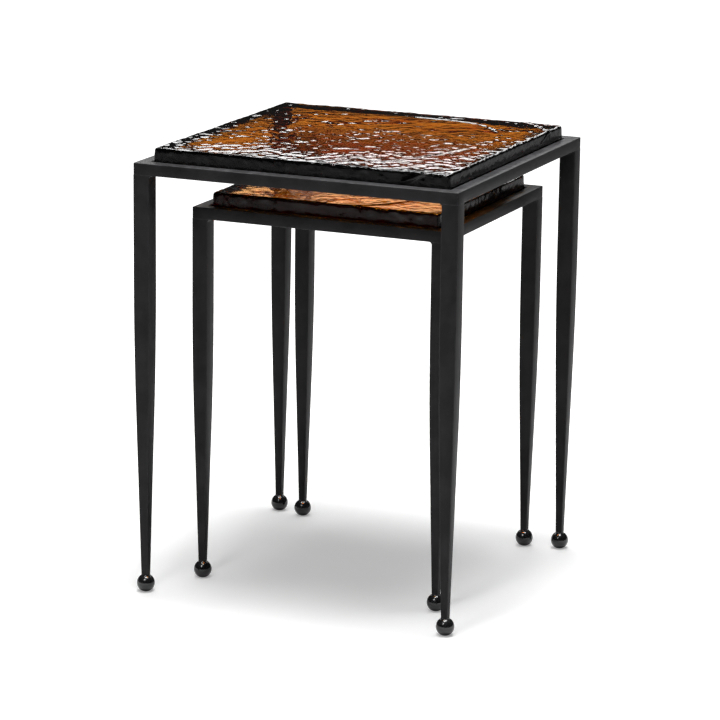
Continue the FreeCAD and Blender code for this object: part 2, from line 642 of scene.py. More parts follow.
@dataclass(frozen=True)
class CastGlass:
    """Amber glass that swallows blue and green with depth, with painted shade darkening its sides.
    """

    name: str
    absorbed: Colour  # share of the density, red green blue
    density: float  # per metre
    clear: Colour = (1.0, 1.0, 1.0)
    cloudy: Colour = (0.94, 0.88, 0.80)
    # painted shade: near-black tint on the sides, where the light's long path through the glass
    # makes them dark
    skin: Colour = (0.05, 0.048, 0.045)
    # painted shade: near-black tint on the top along its edges
    smoke: Colour = (0.012, 0.013, 0.017)
    roughness: float = 0.02
    side_roughness: float = 0.08
    bed_roughness: float = 0.06

    def material(self, effects: SharedEffects) -> bpy.types.Material:
        """Build the finish.

        Args:
            effects: The shared node groups.

        Returns:
            The material.
        """
        bench = FinishBench(self.name)
        place = bench.place()
        steep = bench.span(bench.maths("ABSOLUTE", bench.facing_up()), 0.75, 0.35)
        bench.fill(bench.shader, {
            "Base Color": self._colour(bench, place, steep),
            "Roughness": self._roughness(bench, place, steep, effects),
            "Normal": self._relief(bench, place),
            "Transmission Weight": 1.0,
            "IOR": 1.5,
        })
        kept = tuple(1.0 - share for share in self.absorbed)
        inputs = {"Color": (*kept, 1), "Density": self.density}
        absorb = bench.add("ShaderNodeVolumeAbsorption", inputs)
        bench.fill(bench.output, {"Volume": absorb.outputs["Volume"]})
        return bench.material

    def _colour(self, bench: FinishBench, place: Socket, steep: Socket) -> Socket:
        """Faintly cloudy faces, painted shade along the rim, and painted shade on the sides as a
        dark skin.

        Args:
            bench: The material's bench.
            place: The place on the slab.
            steep: Mask of the slab's sides.

        Returns:
            The colour.
        """
        streaks = bench.span(bench.noise(place, 60.0, 4.0), 0.3, 0.7)
        face = bench.blend(streaks, (*self.cloudy, 1), (*self.clear, 1))
        # painted shade: the top's colour goes near black along its edges, broken up by noise
        rim = bench.add("ShaderNodeAttribute", attribute_name=RIM_SHADE).outputs["Fac"]
        shade_breakup = bench.span(bench.noise(place, 26.0, 4.0), 0.35, 0.65, 0.55, 1.35)
        rim_shaded = bench.blend(bench.maths("MULTIPLY", rim, shade_breakup), face, (*self.smoke, 1))
        # painted shade: the sides' colour goes near black
        return bench.blend(steep, rim_shaded, (*self.skin, 1))

    def _roughness(
        self, bench: FinishBench, place: Socket, steep: Socket, effects: SharedEffects
    ) -> Socket:
        """Polished on top, gritty on the sides and duller on the underside.

        Args:
            bench: The material's bench.
            place: The place on the slab.
            steep: Mask of the slab's sides.
            effects: The shared node groups.

        Returns:
            The roughness.
        """
        grit = bench.span(bench.noise(place, 220.0, 4.0), 0.35, 0.75, 0.0, 0.12)
        sides = bench.maths("MULTIPLY", bench.maths("ADD", grit, self.side_roughness), steep)
        dust = bench.effect(effects.dust, {"Amount": 0.05})["Mask"]
        polished = bench.maths("ADD", sides, bench.maths("ADD", dust, self.roughness))
        bed = bench.add("ShaderNodeAttribute", attribute_name=BED_SIDE).outputs["Fac"]
        return bench.maths("MULTIPLY_ADD", bed, self.bed_roughness, polished)

    @staticmethod
    def _relief(bench: FinishBench, place: Socket) -> Socket:
        """Fine ripples and small pits.

        Args:
            bench: The material's bench.
            place: The place on the slab.

        Returns:
            The normal.
        """
        ripples = bench.noise(place, 260.0, 3.0)
        pits = bench.noise(place, 900.0, 2.0)
        pit_share = 0.12
        return bench.bump(bench.maths("MULTIPLY_ADD", pits, pit_share, ripples), 0.2, 0.30 * MM)


@dataclass(frozen=True)
class BumperRubber:
    """Clear soft bumper with a milky, slightly dusty skin."""

    name: str = "clear_bumper"
    colour: Colour = (0.62, 0.61, 0.58)
    dust_colour: Colour = (0.5, 0.5, 0.48)

    def material(self, effects: SharedEffects) -> bpy.types.Material:
        """Build the finish.

        Args:
            effects: The shared node groups.

        Returns:
            The material.
        """
        bench = FinishBench(self.name)
        dust = bench.effect(effects.dust, {"Amount": 0.5})["Mask"]
        cloud = bench.noise(bench.place(), 700.0, 3.0)
        darker = tuple(0.75 * part for part in self.colour)
        milky = bench.blend(cloud, (*darker, 1), (*self.colour, 1))
        bench.fill(bench.shader, {
            "Base Color": bench.blend(dust, milky, (*self.dust_colour, 1)),
            "Roughness": bench.span(cloud, 0.3, 0.7, 0.3, 0.5),
            "Normal": bench.bump(cloud, 0.2, 0.1 * MM),
            "Subsurface Weight": 0.3,
            "Subsurface Scale": 2.0 * MM,
        })
        return bench.material


SATIN_BAR = BlackIron(
    name="satin_black_iron",
    colour=(0.0260, 0.0252, 0.0265),
    worn_colour=(0.050, 0.049, 0.052),
    roughness=0.40,
    specular=0.10,
    coat=0.0,
    peel=1.0,
    waves=0.5,
    relief=0.25,
)
GLOSS_BALL = BlackIron(
    name="gloss_black_ball",
    colour=(0.008, 0.008, 0.009),
    worn_colour=(0.016, 0.016, 0.017),
    roughness=0.22,
    specular=0.5,
    coat=0.7,
    peel=0.8,
    waves=0.9,
    relief=0.35,
)
DEEP_AMBER = CastGlass("amber_cast_glass", absorbed=(0.16, 0.395, 1.0), density=150.0)
PALE_AMBER = CastGlass("amber_cast_glass_pale", absorbed=(0.14, 0.50, 1.0), density=60.0)


@dataclass
class Finishes:
    """The materials of the nest, each made once from its finish."""

    iron: bpy.types.Material
    ball: bpy.types.Material
    deep_glass: bpy.types.Material
    pale_glass: bpy.types.Material
    bumper: bpy.types.Material

    @classmethod
    def build(cls) -> "Finishes":
        """Make each material.

        Returns:
            The materials.
        """
        effects = SharedEffects()
        finishes = (SATIN_BAR, GLOSS_BALL, DEEP_AMBER, PALE_AMBER, BumperRubber())
        return cls(*(finish.material(effects) for finish in finishes))


# ---------------------------------------------------------------------------
# Sub-assemblies
# ---------------------------------------------------------------------------


def inset_of(point: Vector, low: Vector, high: Vector) -> float:
    """How far a point in plan is inside a rectangle."""
    return min(point.x - low.x, high.x - point.x, point.y - low.y, high.y - point.y)


@dataclass
class TopFrame:
    """The square ring of four mitred rails that the glass is let into."""

    table: str
    leg_width: float
    corner_round: float = 1.8 * MM
    top_round: float = 1.0 * MM
    under_round: float = 0.8 * MM

    def __post_init__(self) -> None:
        """Read the ring's size and place from its four CAD rails."""
        boxes = {side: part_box(f"{self.table}_rail_{side.label}") for side in Side}
        front_low, front_high = boxes[Side.FRONT]
        self.low = Vector((boxes[Side.LEFT][0].x, front_low.y, front_low.z))
        self.high = Vector((boxes[Side.RIGHT][1].x, boxes[Side.BACK][1].y, front_high.z))
        self.rail_width = front_high.y - front_low.y

    def build(self) -> list[Piece]:
        """Model the ring once, then cut it at its mitres into four rails.

        Returns:
            The four rails, in the order of Side.
        """
        ring = add_block(f"{self.table}_ring", self.low, self.high)
        with editing(ring):
            for level in (-1, 1):
                pick(ring, Pick.FACES, lambda face: face.normal.z * level > 0.9)
                bpy.ops.mesh.inset(thickness=self.rail_width, depth=0)
            pick(ring, Pick.FACES, self._is_core)
            bpy.ops.mesh.bridge_edge_loops()
            self._cut_at_legs()
            pick(ring, Pick.EDGES, self._is_outer_upright)
            soften(self.corner_round, 3)
            pick(ring, Pick.EDGES, self._is_top_rim)
            soften(self.top_round, 3)
            pick(ring, Pick.EDGES, self._is_under_rim)
            soften(self.under_round, 2)
        tidy_shell(ring)
        rails = [self._mitred(ring, side) for side in Side]
        bpy.data.objects.remove(ring)
        return rails

    def _cut_at_legs(self) -> None:
        """Cut the ring, in edit mode, in line with each leg's inner faces."""
        for axis, start, end in ((X, self.low.x, self.high.x), (Y, self.low.y, self.high.y)):
            for station in (start + self.leg_width, end - self.leg_width):
                cut(axis * station, axis)

    def _is_core(self, face: bmesh.types.BMFace) -> bool:
        """Whether a face is one of the two that the ring's opening goes through."""
        depth = inset_of(face.calc_center_median(), self.low, self.high)
        return abs(face.normal.z) > 0.9 and depth > 2 * self.rail_width

    def _is_outer_upright(self, edge: Edge) -> bool:
        """Whether an edge is one of the ring's four outer corners.

        Args:
            edge: An edge of the ring.

        Returns:
            True if it is.
        """
        middle = edge_middle(edge)
        at_x = min(abs(middle.x - self.low.x), abs(middle.x - self.high.x)) < TINY
        at_y = min(abs(middle.y - self.low.y), abs(middle.y - self.high.y)) < TINY
        return edge_run(edge).z > TINY and at_x and at_y

    @staticmethod
    def _on_rim(edge: Edge, height: float) -> bool:
        """Whether an edge lies at a height and borders an upright face."""
        level = all(abs(vertex.co.z - height) < TINY for vertex in edge.verts)
        return level and any(abs(face.normal.z) < 0.1 for face in edge.link_faces)

    def _is_top_rim(self, edge: Edge) -> bool:
        """Whether an edge is on the top's outline, outer or inner."""
        return self._on_rim(edge, self.high.z)

    def _is_under_rim(self, edge: Edge) -> bool:
        """Whether an edge is on the underside's outline, between the legs.

        Args:
            edge: An edge of the ring.

        Returns:
            True if it is.
        """
        middle = edge_middle(edge)
        run = edge_run(edge)
        between_x = self.low.x + self.leg_width < middle.x < self.high.x - self.leg_width
        between_y = self.low.y + self.leg_width < middle.y < self.high.y - self.leg_width
        return self._on_rim(edge, self.low.z) and (between_x if run.x > run.y else between_y)

    def _mitred(self, ring: Piece, side: Side) -> Piece:
        """Copy the ring and keep the part between two mitre planes.

        Args:
            ring: The whole ring.
            side: The rail to keep.

        Returns:
            The rail.
        """
        rail = copy_piece(ring, f"{self.table}_rail_{side.label}_bar")
        out = Vector((*side.value, 0))
        along = Vector((-out.y, out.x, 0))
        centre = (self.low + self.high) / 2
        half = (self.high - self.low) / 2
        with editing(rail):
            for sign in (-1, 1):
                reach = out + along * sign
                corner = centre + Vector((reach.x * half.x, reach.y * half.y, 0))
                cut(corner, (along * sign - out).normalized(), close=True)
        tidy_shell(rail)
        return smooth_by_angle(rail, CRISP_BAR)


@dataclass
class TaperedLeg:
    """Square leg, straight and then tapered to the ball, with two small welds at its top."""

    table: str
    corner: Corner
    width: float
    under: float  # height of the frame's underside
    bend: float  # height where the straight part meets the taper
    blend: float = 90.0 * MM  # how far the round between them reaches
    tip_width: float = 9.0 * MM
    edge_round: float = 1.0 * MM
    weld: float = 4.0 * MM
    weld_length: float = 17.0 * MM
    stations: int = 40

    def __post_init__(self) -> None:
        """Read the leg's place from its CAD node."""
        low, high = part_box(f"{self.table}_leg_{self.corner.label}")
        sign_x, sign_y = self.corner.value
        outer_x = low.x if sign_x < 0 else high.x
        outer_y = low.y if sign_y < 0 else high.y
        half = self.width / 2
        self.axis = Vector((outer_x - sign_x * half, outer_y - sign_y * half, 0))
        self.foot = low.z

    def width_at(self, height: float) -> float:
        """The leg's width at a height: straight, a round blend, then a straight taper.

        Args:
            height: Height above the floor.

        Returns:
            The width.
        """
        slope = (self.width - self.tip_width) / (self.bend - self.foot)
        start = self.bend + self.blend
        end = self.bend - self.blend
        if height >= start:
            return self.width
        if height <= end:
            return self.width - slope * (self.bend - height)
        share = (start - height) / (start - end)
        return self.width - slope * self.blend * share * share

    def build(self) -> Piece:
        """Model the leg.

        Returns:
            The finished leg.
        """
        half = Vector((self.width / 2, self.width / 2, 0))
        low = self.axis - half + Z * self.foot
        high = self.axis + half + Z * self.under
        leg = add_block(f"{self.table}_leg_{self.corner.label}_bar", low, high)
        with editing(leg):
            pick(leg, Pick.EDGES, lambda edge: edge_run(edge).z > self.weld)
            soften(self.edge_round, 3)
            pick(leg, Pick.EDGES, lambda edge: edge_run(edge).z > self.weld)
            bpy.ops.mesh.subdivide(number_cuts=self.stations)
            self._taper(leg)
        for toward_x in (True, False):
            self._add_weld(leg, toward_x)
        tidy_shell(leg)
        return smooth_by_angle(leg, CRISP_BAR)

    def _taper(self, leg: Piece) -> None:
        """Draw each ring of vertices in to the leg's width at its height.

        Args:
            leg: The leg, in edit mode.
        """
        for station in range(self.stations + 2):
            height = self.foot + (self.under - self.foot) * station / (self.stations + 1)
            share = self.width_at(height) / self.width
            if share > 0.9999:
                continue
            pick(leg, Pick.VERTS, lambda vertex: abs(vertex.co.z - height) < 0.1 * MM)
            middle = (self.axis.x, self.axis.y, height)
            bpy.ops.transform.resize(value=(share, share, 1), center_override=middle)

    def _add_weld(self, leg: Piece, toward_x: bool) -> None:
        """Fuse a small concave weld to the leg's inner face, under one rail.

        Args:
            leg: The leg.
            toward_x: Whether the weld lies under the rail that runs along X.
        """
        sign_x, sign_y = self.corner.value
        inward, across = (X * -sign_x, Y * sign_y) if toward_x else (Y * -sign_y, X * sign_x)
        half_run = (self.weld_length - 2 * self.edge_round) / 2
        sunk = 1.0 * MM
        middle = self.axis + across * ((self.width - self.weld_length) / 2)
        start = middle + inward * (self.width / 2 - sunk)
        end = middle + inward * (self.width / 2 + self.weld)
        one = start - across * half_run + Z * (self.under - self.weld)
        other = end + across * half_run + Z * self.under
        lump = add_block("weld_lump", Vector(map(min, one, other)), Vector(map(max, one, other)))
        scoop = add_primitive(
            "weld_scoop",
            bpy.ops.mesh.primitive_cylinder_add,
            vertices=48,
            radius=self.weld,
            depth=4 * half_run,
            location=end + Z * (self.under - self.weld),
            rotation=(math.pi / 2, 0, 0) if toward_x else (0, math.pi / 2, 0),
        )
        finish_with(lump, "BOOLEAN", operation="DIFFERENCE", solver="EXACT", object=scoop)
        finish_with(leg, "BOOLEAN", operation="UNION", solver="EXACT", object=lump)
        bpy.data.objects.remove(scoop)
        bpy.data.objects.remove(lump)


@dataclass
class BallFoot:
    """Turned ball with a worn flat underneath and a weld collar round the leg's tip."""

    table: str
    corner: Corner
    diameter: float = 24.6 * MM
    flat_reach: float = 4.0 * MM
    flat_round: float = 0.5 * MM
    tip_width: float = 9.0 * MM
    collar_height: float = 1.6 * MM
    collar_reach: float = 6.2 * MM
    collar_steps: int = 4

    def build(self) -> Piece:
        """Model the ball and its collar.

        Returns:
            The finished foot.
        """
        node = f"{self.table}_ball_foot_{self.corner.label}"
        low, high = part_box(node)
        radius = self.diameter / 2
        centre = (low + high) / 2
        centre.z = math.sqrt(radius**2 - self.flat_reach**2)
        ball = add_primitive(
            f"{node}_turned",
            bpy.ops.mesh.primitive_uv_sphere_add,
            segments=64,
            ring_count=40,
            radius=radius,
            location=centre,
        )
        with editing(ball):
            cut(Z * 0, -Z, close=True)
            cut(Z * high.z, Z, close=True)
            self._raise_collar(ball, high.z, centre)
        tidy_shell(ball)
        with editing(ball):
            pick(ball, Pick.EDGES, lambda edge: edge_middle(edge).z < 2 * TINY)
            soften(self.flat_round, 2)
        return smooth_by_angle(ball, CRISP_BALL)

    def _raise_collar(self, ball: Piece, seat: float, centre: Vector) -> None:
        """Draw the seat up into a soft weld collar round the leg's tip.

        Args:
            ball: The ball, in edit mode.
            seat: Height of the flat seat.
            centre: The ball's centre.
        """
        neck = self.tip_width / 2 * 1.16
        pick(
            ball,
            Pick.FACES,
            lambda face: face.calc_center_median().z > seat - TINY and face.normal.z > 0.99,
        )
        last_level, last_reach = 0.0, self.collar_reach
        for step in range(1, self.collar_steps + 1):
            turn = step / self.collar_steps * math.pi / 2
            level = self.collar_height * (1 - math.cos(turn))
            reach = self.collar_reach + (neck - self.collar_reach) * math.sin(turn)
            lift = {"value": (0, 0, level - last_level)}
            bpy.ops.mesh.extrude_region_move(TRANSFORM_OT_translate=lift)
            shrink = reach / last_reach
            middle = (centre.x, centre.y, seat + level)
            bpy.ops.transform.resize(value=(shrink, shrink, 1), center_override=middle)
            last_level, last_reach = level, reach


@dataclass
class LedgeStrip:
    """Flat strip welded inside a rail, with sheared edges just broken."""

    table: str
    side: Side
    edge_round: float = 0.4 * MM

    def build(self) -> Piece:
        """Model the strip.

        Returns:
            The finished strip.
        """
        node = f"{self.table}_ledge_{self.side.label}"
        strip = add_block(f"{node}_strip", *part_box(node))
        with editing(strip):
            bpy.ops.mesh.select_all(action="SELECT")
            soften(self.edge_round, 2)
        tidy_shell(strip)
        return smooth_by_angle(strip, CRISP_BAR)


@dataclass
class GlassPads:
    """Soft bumpers under the glass, each a low dome with a flat crown."""

    table: str
    radius: float = 4.5 * MM
    crown_round: float = 0.9 * MM

    def build(self) -> Piece:
        """Model one pad and copy it to each place that the CAD group has.

        Returns:
            The group of pads as one piece.
        """
        (first_x, first_y), *others = self._places()
        pads = [self._pad(first_x, first_y)]
        for index, (x, y) in enumerate(others, start=1):
            pad = copy_piece(pads[0], f"pad_{index}")
            pad.location = (x - first_x, y - first_y, 0)
            pads.append(settle(pad, f"pad_{index}"))
        return join_pieces(pads, f"{self.table}_glass_bumpers")

    def _pad(self, x: float, y: float) -> Piece:
        """Model one pad.

        Args:
            x: Where its middle is along X.
            y: Where its middle is along Y.

        Returns:
            The pad.
        """
        low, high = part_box(f"{self.table}_glass_pads")
        pad = add_primitive(
            "pad_0",
            bpy.ops.mesh.primitive_cylinder_add,
            vertices=40,
            radius=self.radius,
            depth=high.z - low.z,
            location=(x, y, (low.z + high.z) / 2),
        )
        with editing(pad):
            pick(
                pad,
                Pick.EDGES,
                lambda edge: edge_middle(edge).z > high.z - TINY and edge_run(edge).z < TINY,
            )
            soften(self.crown_round, 4)
        return smooth_by_angle(pad, CRISP_PAD)

    def _places(self) -> list[tuple[float, float]]:
        """The plan centres of the separate pads of the CAD group.

        Returns:
            The centres.
        """
        mesh = frame["nodes"][f"{self.table}_glass_pads"].data
        apart = 12.0 * MM
        clusters: list[list[tuple[float, float]]] = []
        for point in sorted({(round(v.co.x, 5), round(v.co.y, 5)) for v in mesh.vertices}):
            home = next((group for group in clusters if math.dist(group[0], point) < apart), None)
            if home is None:
                clusters.append([point])
            else:
                home.append(point)
        return [
            tuple((min(values) + max(values)) / 2 for values in zip(*cluster))
            for cluster in clusters
        ]


@dataclass(frozen=True)
class PourRing:
    """A ridge left in the glass where one pour cooled before the next met it."""

    radius: float
    strong_at: tuple[float, ...]  # bearings, in degrees, where the ridge stands highest
    reach: float = 30.0  # degrees to each side of those bearings
    faint: float = 0.15
    width: float = 3.0 * MM

    def share(self, offset: Vector) -> float:
        """How high the ridge stands at a place.

        Args:
            offset: The place in plan, from the middle of the slab.

        Returns:
            1 on the crest at its highest, and 0 away from the ridge.
        """
        bearing = math.atan2(offset.y, offset.x)
        three, two = 3 * bearing, 2 * bearing  # the ring wanders off a true circle
        wander = 11.0 * math.sin(three) - 7.0 * math.cos(three) - 5.0 * math.cos(two)
        off = (math.hypot(offset.x, offset.y) - self.radius - wander * MM) / self.width
        if abs(off) > 3:
            return 0.0
        height = self.faint
        for strong in self.strong_at:
            turn = (math.degrees(bearing) - strong + 180) % 360 - 180
            height = max(height, math.exp(-((turn / self.reach) ** 2)))
        return height * math.exp(-off * off)


@dataclass(frozen=True)
class FoldMark:
    """A fine straight crease on a side of the slab, where the chilled glass folded."""

    start: tuple[float, float, float]  # from the slab's lower front right corner
    end: tuple[float, float, float]
    width: float = 2.0 * MM

    def share(self, offset: Vector) -> float:
        """How high the crease stands at a place.

        Args:
            offset: The place, from the slab's lower front right corner.

        Returns:
            1 on the crest, and 0 away from the crease.
        """
        start = Vector(self.start)
        run = Vector(self.end) - start
        along = min(max((offset - start).dot(run) / run.length_squared, 0.0), 1.0)
        off = (offset - start - run * along).length / self.width
        return math.exp(-off * off) if off < 3 else 0.0


@dataclass(frozen=True)
class Casting:
    """What makes one cast slab differ from the other."""

    rings: tuple[PourRing, ...]
    calm_place: tuple[float, float]  # the calmest part of the pour, from the slab's middle
    shift: float  # moves the cloud textures along, so that no two slabs ripple alike
    smoke_reach: tuple[float, float, float, float]  # how far the painted rim shade reaches from the left, front, right and back edges
    folds: tuple[FoldMark, ...] = ()


@dataclass
class CastSlab:
    """Thick cast-glass top: soft rim, chilled sides, ripples, swells and pour rings."""

    table: str
    casting: Casting
    pitch: float = 1.75 * MM  # size of a mesh step on the top
    side_rows: int = 9
    corner_segments: int = 6
    corner_round: float = 5.0 * MM
    draft: float = 1.0 * MM
    top_round: float = 3.5 * MM
    bottom_round: float = 1.5 * MM
    under_hem: float = 3.0 * MM  # row of faces round the underside, so that it shades flat
    swell: tuple[float, float] = (55.0 * MM, 1.9 * MM)  # grain and height
    ripple: tuple[float, float] = (11.0 * MM, 1.6 * MM)
    chill: tuple[float, float] = (11.0 * MM, 1.7 * MM)
    dome_height: float = 0.9 * MM
    dome_reach: float = 75.0 * MM
    ring_height: float = 1.0 * MM
    fold_height: float = 1.1 * MM

    def __post_init__(self) -> None:
        """Read the slab's size and place from its CAD node."""
        self.low, self.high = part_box(f"{self.table}_glass_top")
        self.centre = (self.low + self.high) / 2
        self.size = self.high - self.low

    def build(self) -> Piece:
        """Model the slab.

        Returns:
            The finished slab.
        """
        slab = add_block(f"{self.table}_cast_glass", self.low, self.high)
        self._shape_block(slab)
        self._divide(slab)
        slab = self._lay_top(slab)
        self._ripple(slab)
        make_active(slab)
        bpy.ops.object.shade_smooth()
        self._mark(slab, BED_SIDE, lambda point: float(point.z < self.low.z + 0.1 * MM))
        self._mark(slab, RIM_SHADE, self._smoke_share)
        return slab

    @staticmethod
    def _mark(slab: Piece, name: str, share: Callable[[Vector], float]) -> None:
        """Store a share from 0 to 1 on every point of the slab, for its finish to read.

        Args:
            slab: The slab.
            name: The attribute's name.
            share: Gives the share at a place.
        """
        layer = slab.data.attributes.new(name, "FLOAT", "POINT")
        layer.data.foreach_set("value", [share(vertex.co) for vertex in slab.data.vertices])

    def _shape_block(self, slab: Piece) -> None:
        """Round the block's corners, lean its sides in and soften its rims.

        Args:
            slab: The block.
        """
        top = self.high.z - TINY
        bottom = self.low.z + TINY
        lean_x = 1 - 2 * self.draft / self.size.x
        lean_y = 1 - 2 * self.draft / self.size.y
        middle = (self.centre.x, self.centre.y, self.high.z)
        with editing(slab):
            pick(slab, Pick.EDGES, lambda edge: edge_run(edge).z > 1.0 * MM)
            soften(self.corner_round, self.corner_segments)
            pick(slab, Pick.VERTS, lambda vertex: vertex.co.z > top)
            bpy.ops.transform.resize(value=(lean_x, lean_y, 1), center_override=middle)
            pick(slab, Pick.EDGES, lambda edge: all(v.co.z > top for v in edge.verts))
            soften(self.top_round, 6)
            pick(slab, Pick.EDGES, lambda edge: all(v.co.z < bottom for v in edge.verts))
            soften(self.bottom_round, 3)

    def _divide(self, slab: Piece) -> None:
        """Divide the sides and rims finely enough to take chill marks, and open the top.

        Args:
            slab: The rounded block.
        """
        long = self.size.x / 2
        coarse = 2.5 * self.pitch
        with editing(slab):
            pick(slab, Pick.FACES, lambda face: abs(face.normal.z) > 0.9 and len(face.verts) > 8)
            bpy.ops.mesh.delete(type="ONLY_FACE")
            pick(slab, Pick.EDGES, lambda edge: edge_run(edge).z > self.size.z / 2)
            bpy.ops.mesh.subdivide(number_cuts=self.side_rows)
            for axis in (0, 1):
                pick(slab, Pick.EDGES, lambda edge: edge_run(edge)[axis] > long)
                bpy.ops.mesh.subdivide(number_cuts=self._steps(self.size[axis]) // 3 - 1)
                pick(slab, Pick.EDGES, lambda edge: edge_run(edge)[axis] > coarse)
                bpy.ops.mesh.subdivide(number_cuts=2)
            pick(slab, Pick.EDGES, self._is_open_under)
            bpy.ops.mesh.edge_face_add()
            bpy.ops.mesh.inset(thickness=self.under_hem)

    def _is_open_under(self, edge: Edge) -> bool:
        """Whether an edge borders the hole in the underside."""
        return edge.is_boundary and edge_middle(edge).z < self.centre.z

    def _steps(self, length: float) -> int:
        """How many mesh steps a side of the slab is divided into, a multiple of three."""
        return 3 * round(length / (3 * self.pitch))

    def _lay_top(self, slab: Piece) -> Piece:
        """Lay a fine grid over the open top, and bridge it to the rim.

        Args:
            slab: The divided block.

        Returns:
            The slab with its new top.
        """
        margin = self.draft + self.top_round + 1.2 * self.pitch
        deselect_all()
        bpy.ops.mesh.primitive_grid_add(
            x_subdivisions=self._steps(self.size.x) + self.corner_segments,
            y_subdivisions=self._steps(self.size.y) + self.corner_segments,
            size=1.0,
            location=(self.centre.x, self.centre.y, self.high.z),
        )
        sheet = bpy.context.active_object
        sheet.scale = (self.size.x - 2 * margin, self.size.y - 2 * margin, 1)
        joined = join_pieces([slab, settle(sheet, "top_sheet")], slab.name)
        with editing(joined):
            pick(joined, Pick.EDGES, lambda edge: edge.is_boundary)
            bpy.ops.mesh.bridge_edge_loops()
        tidy_shell(joined)
        return joined

    def _smoke_share(self, point: Vector) -> float:
        """How much painted shade darkens the top along its edges.

        Args:
            point: A point of the slab.

        Returns:
            The share from 0 to 1.
        """
        if point.z < self.centre.z:
            return 0.0
        from_low = point - self.low
        from_high = self.high - point
        depths = (from_low.x, from_low.y, from_high.x, from_high.y)
        reaches = zip(depths, self.casting.smoke_reach)
        solid = 4 * MM
        return max(1.0 - ease(depth, solid, reach) for depth, reach in reaches)

    def _top_share(self, point: Vector) -> float:
        """1 on the top, fading to 0 down the rim."""
        return ease(point.z, self.high.z - self.top_round, self.high.z - 0.1 * MM)

    def _calm_share(self, point: Vector) -> float:
        """How strong the ripples are: weaker round the calm part of the pour.

        Args:
            point: A point of the slab.

        Returns:
            The share from 0 to 1.
        """
        calm = Vector((*self.casting.calm_place, 0)) + self.centre
        stretch = 1.5
        distance = math.hypot((point.x - calm.x) / stretch, point.y - calm.y)
        calmest, gain_away, gain_at_rim = 0.40, 0.32, 0.28
        away = ease(distance, 15.0 * MM, 95.0 * MM)
        lively = calmest + gain_away * away + gain_at_rim * self._smoke_share(point)
        return self._top_share(point) * lively

    def _dome_share(self, point: Vector) -> float:
        """How far the top has risen from the rim towards the middle.

        Args:
            point: A point of the slab.

        Returns:
            0 at the rim and 1 in the middle.
        """
        depth_x = min(point.x - self.low.x, self.high.x - point.x)
        depth_y = min(point.y - self.low.y, self.high.y - point.y)
        along_x = ease(depth_x, 2.0 * MM, self.dome_reach)
        along_y = ease(depth_y, 2.0 * MM, self.dome_reach)
        return self._top_share(point) * along_x * along_y

    def _ring_share(self, point: Vector) -> float:
        """How high the pour rings stand."""
        offset = point - self.centre
        return self._top_share(point) * max(ring.share(offset) for ring in self.casting.rings)

    def _fold_share(self, point: Vector) -> float:
        """How high the creases stand."""
        offset = point - Vector((self.high.x, self.low.y, self.low.z))
        return max((fold.share(offset) for fold in self.casting.folds), default=0.0)

    def _side_share(self, point: Vector) -> float:
        """1 on the slab's sides, fading to 0 at the top rim and in the frame.

        Args:
            point: A point of the slab.

        Returns:
            The share from 0 to 1.
        """
        if inset_of(point, self.low, self.high) > self.draft + self.top_round:
            return 0.0
        lower = ease(point.z, self.low.z + 5 * MM, self.low.z + 9 * MM)
        return lower * (1.0 - ease(point.z, self.high.z - self.top_round, self.high.z))

    def _ripple(self, slab: Piece) -> None:
        """Displace the top with swells, ripples, a dome and rings, and the sides with marks.

        Args:
            slab: The closed slab.
        """
        top = weigh(slab, "top", self._top_share)
        rippled = weigh(slab, "rippled", self._calm_share)
        sides = weigh(slab, "sides", self._side_share)
        dome = weigh(slab, "dome", self._dome_share)
        rings = weigh(slab, "rings", self._ring_share)
        folds = weigh(slab, "folds", self._fold_share)
        shift = self.casting.shift
        slab.location = (shift, -shift, 0)
        self._displace(slab, top, "Z", self.swell[1], ("swell", self.swell[0], 1))
        self._displace(slab, rippled, "Z", self.ripple[1], ("ripple", self.ripple[0], 1))
        self._displace(slab, dome, "Z", self.dome_height)
        self._displace(slab, rings, "Z", self.ring_height)
        self._displace(slab, folds, "NORMAL", self.fold_height)
        self._displace(slab, sides, "NORMAL", self.chill[1], ("chill", self.chill[0], 3))
        slab.location = (0, 0, 0)
        slab.vertex_groups.clear()

    def _displace(
        self,
        slab: Piece,
        group: str,
        direction: str,
        strength: float,
        cloud: tuple[str, float, int] | None = None,
    ) -> None:
        """Raise the part of the slab that a vertex group weighs.

        Args:
            slab: The slab.
            group: The vertex group.
            direction: Blender's name for the direction.
            strength: How far it is raised.
            cloud: Name, grain and depth of the cloud texture that breaks it up, if any.
        """
        texture = noise_texture(f"{self.table}_{cloud[0]}", *cloud[1:]) if cloud else None
        finish_with(
            slab,
            "DISPLACE",
            texture=texture,
            texture_coords="GLOBAL",
            direction=direction,
            strength=strength,
            mid_level=0.5 if cloud else 0.0,
            vertex_group=group,
        )


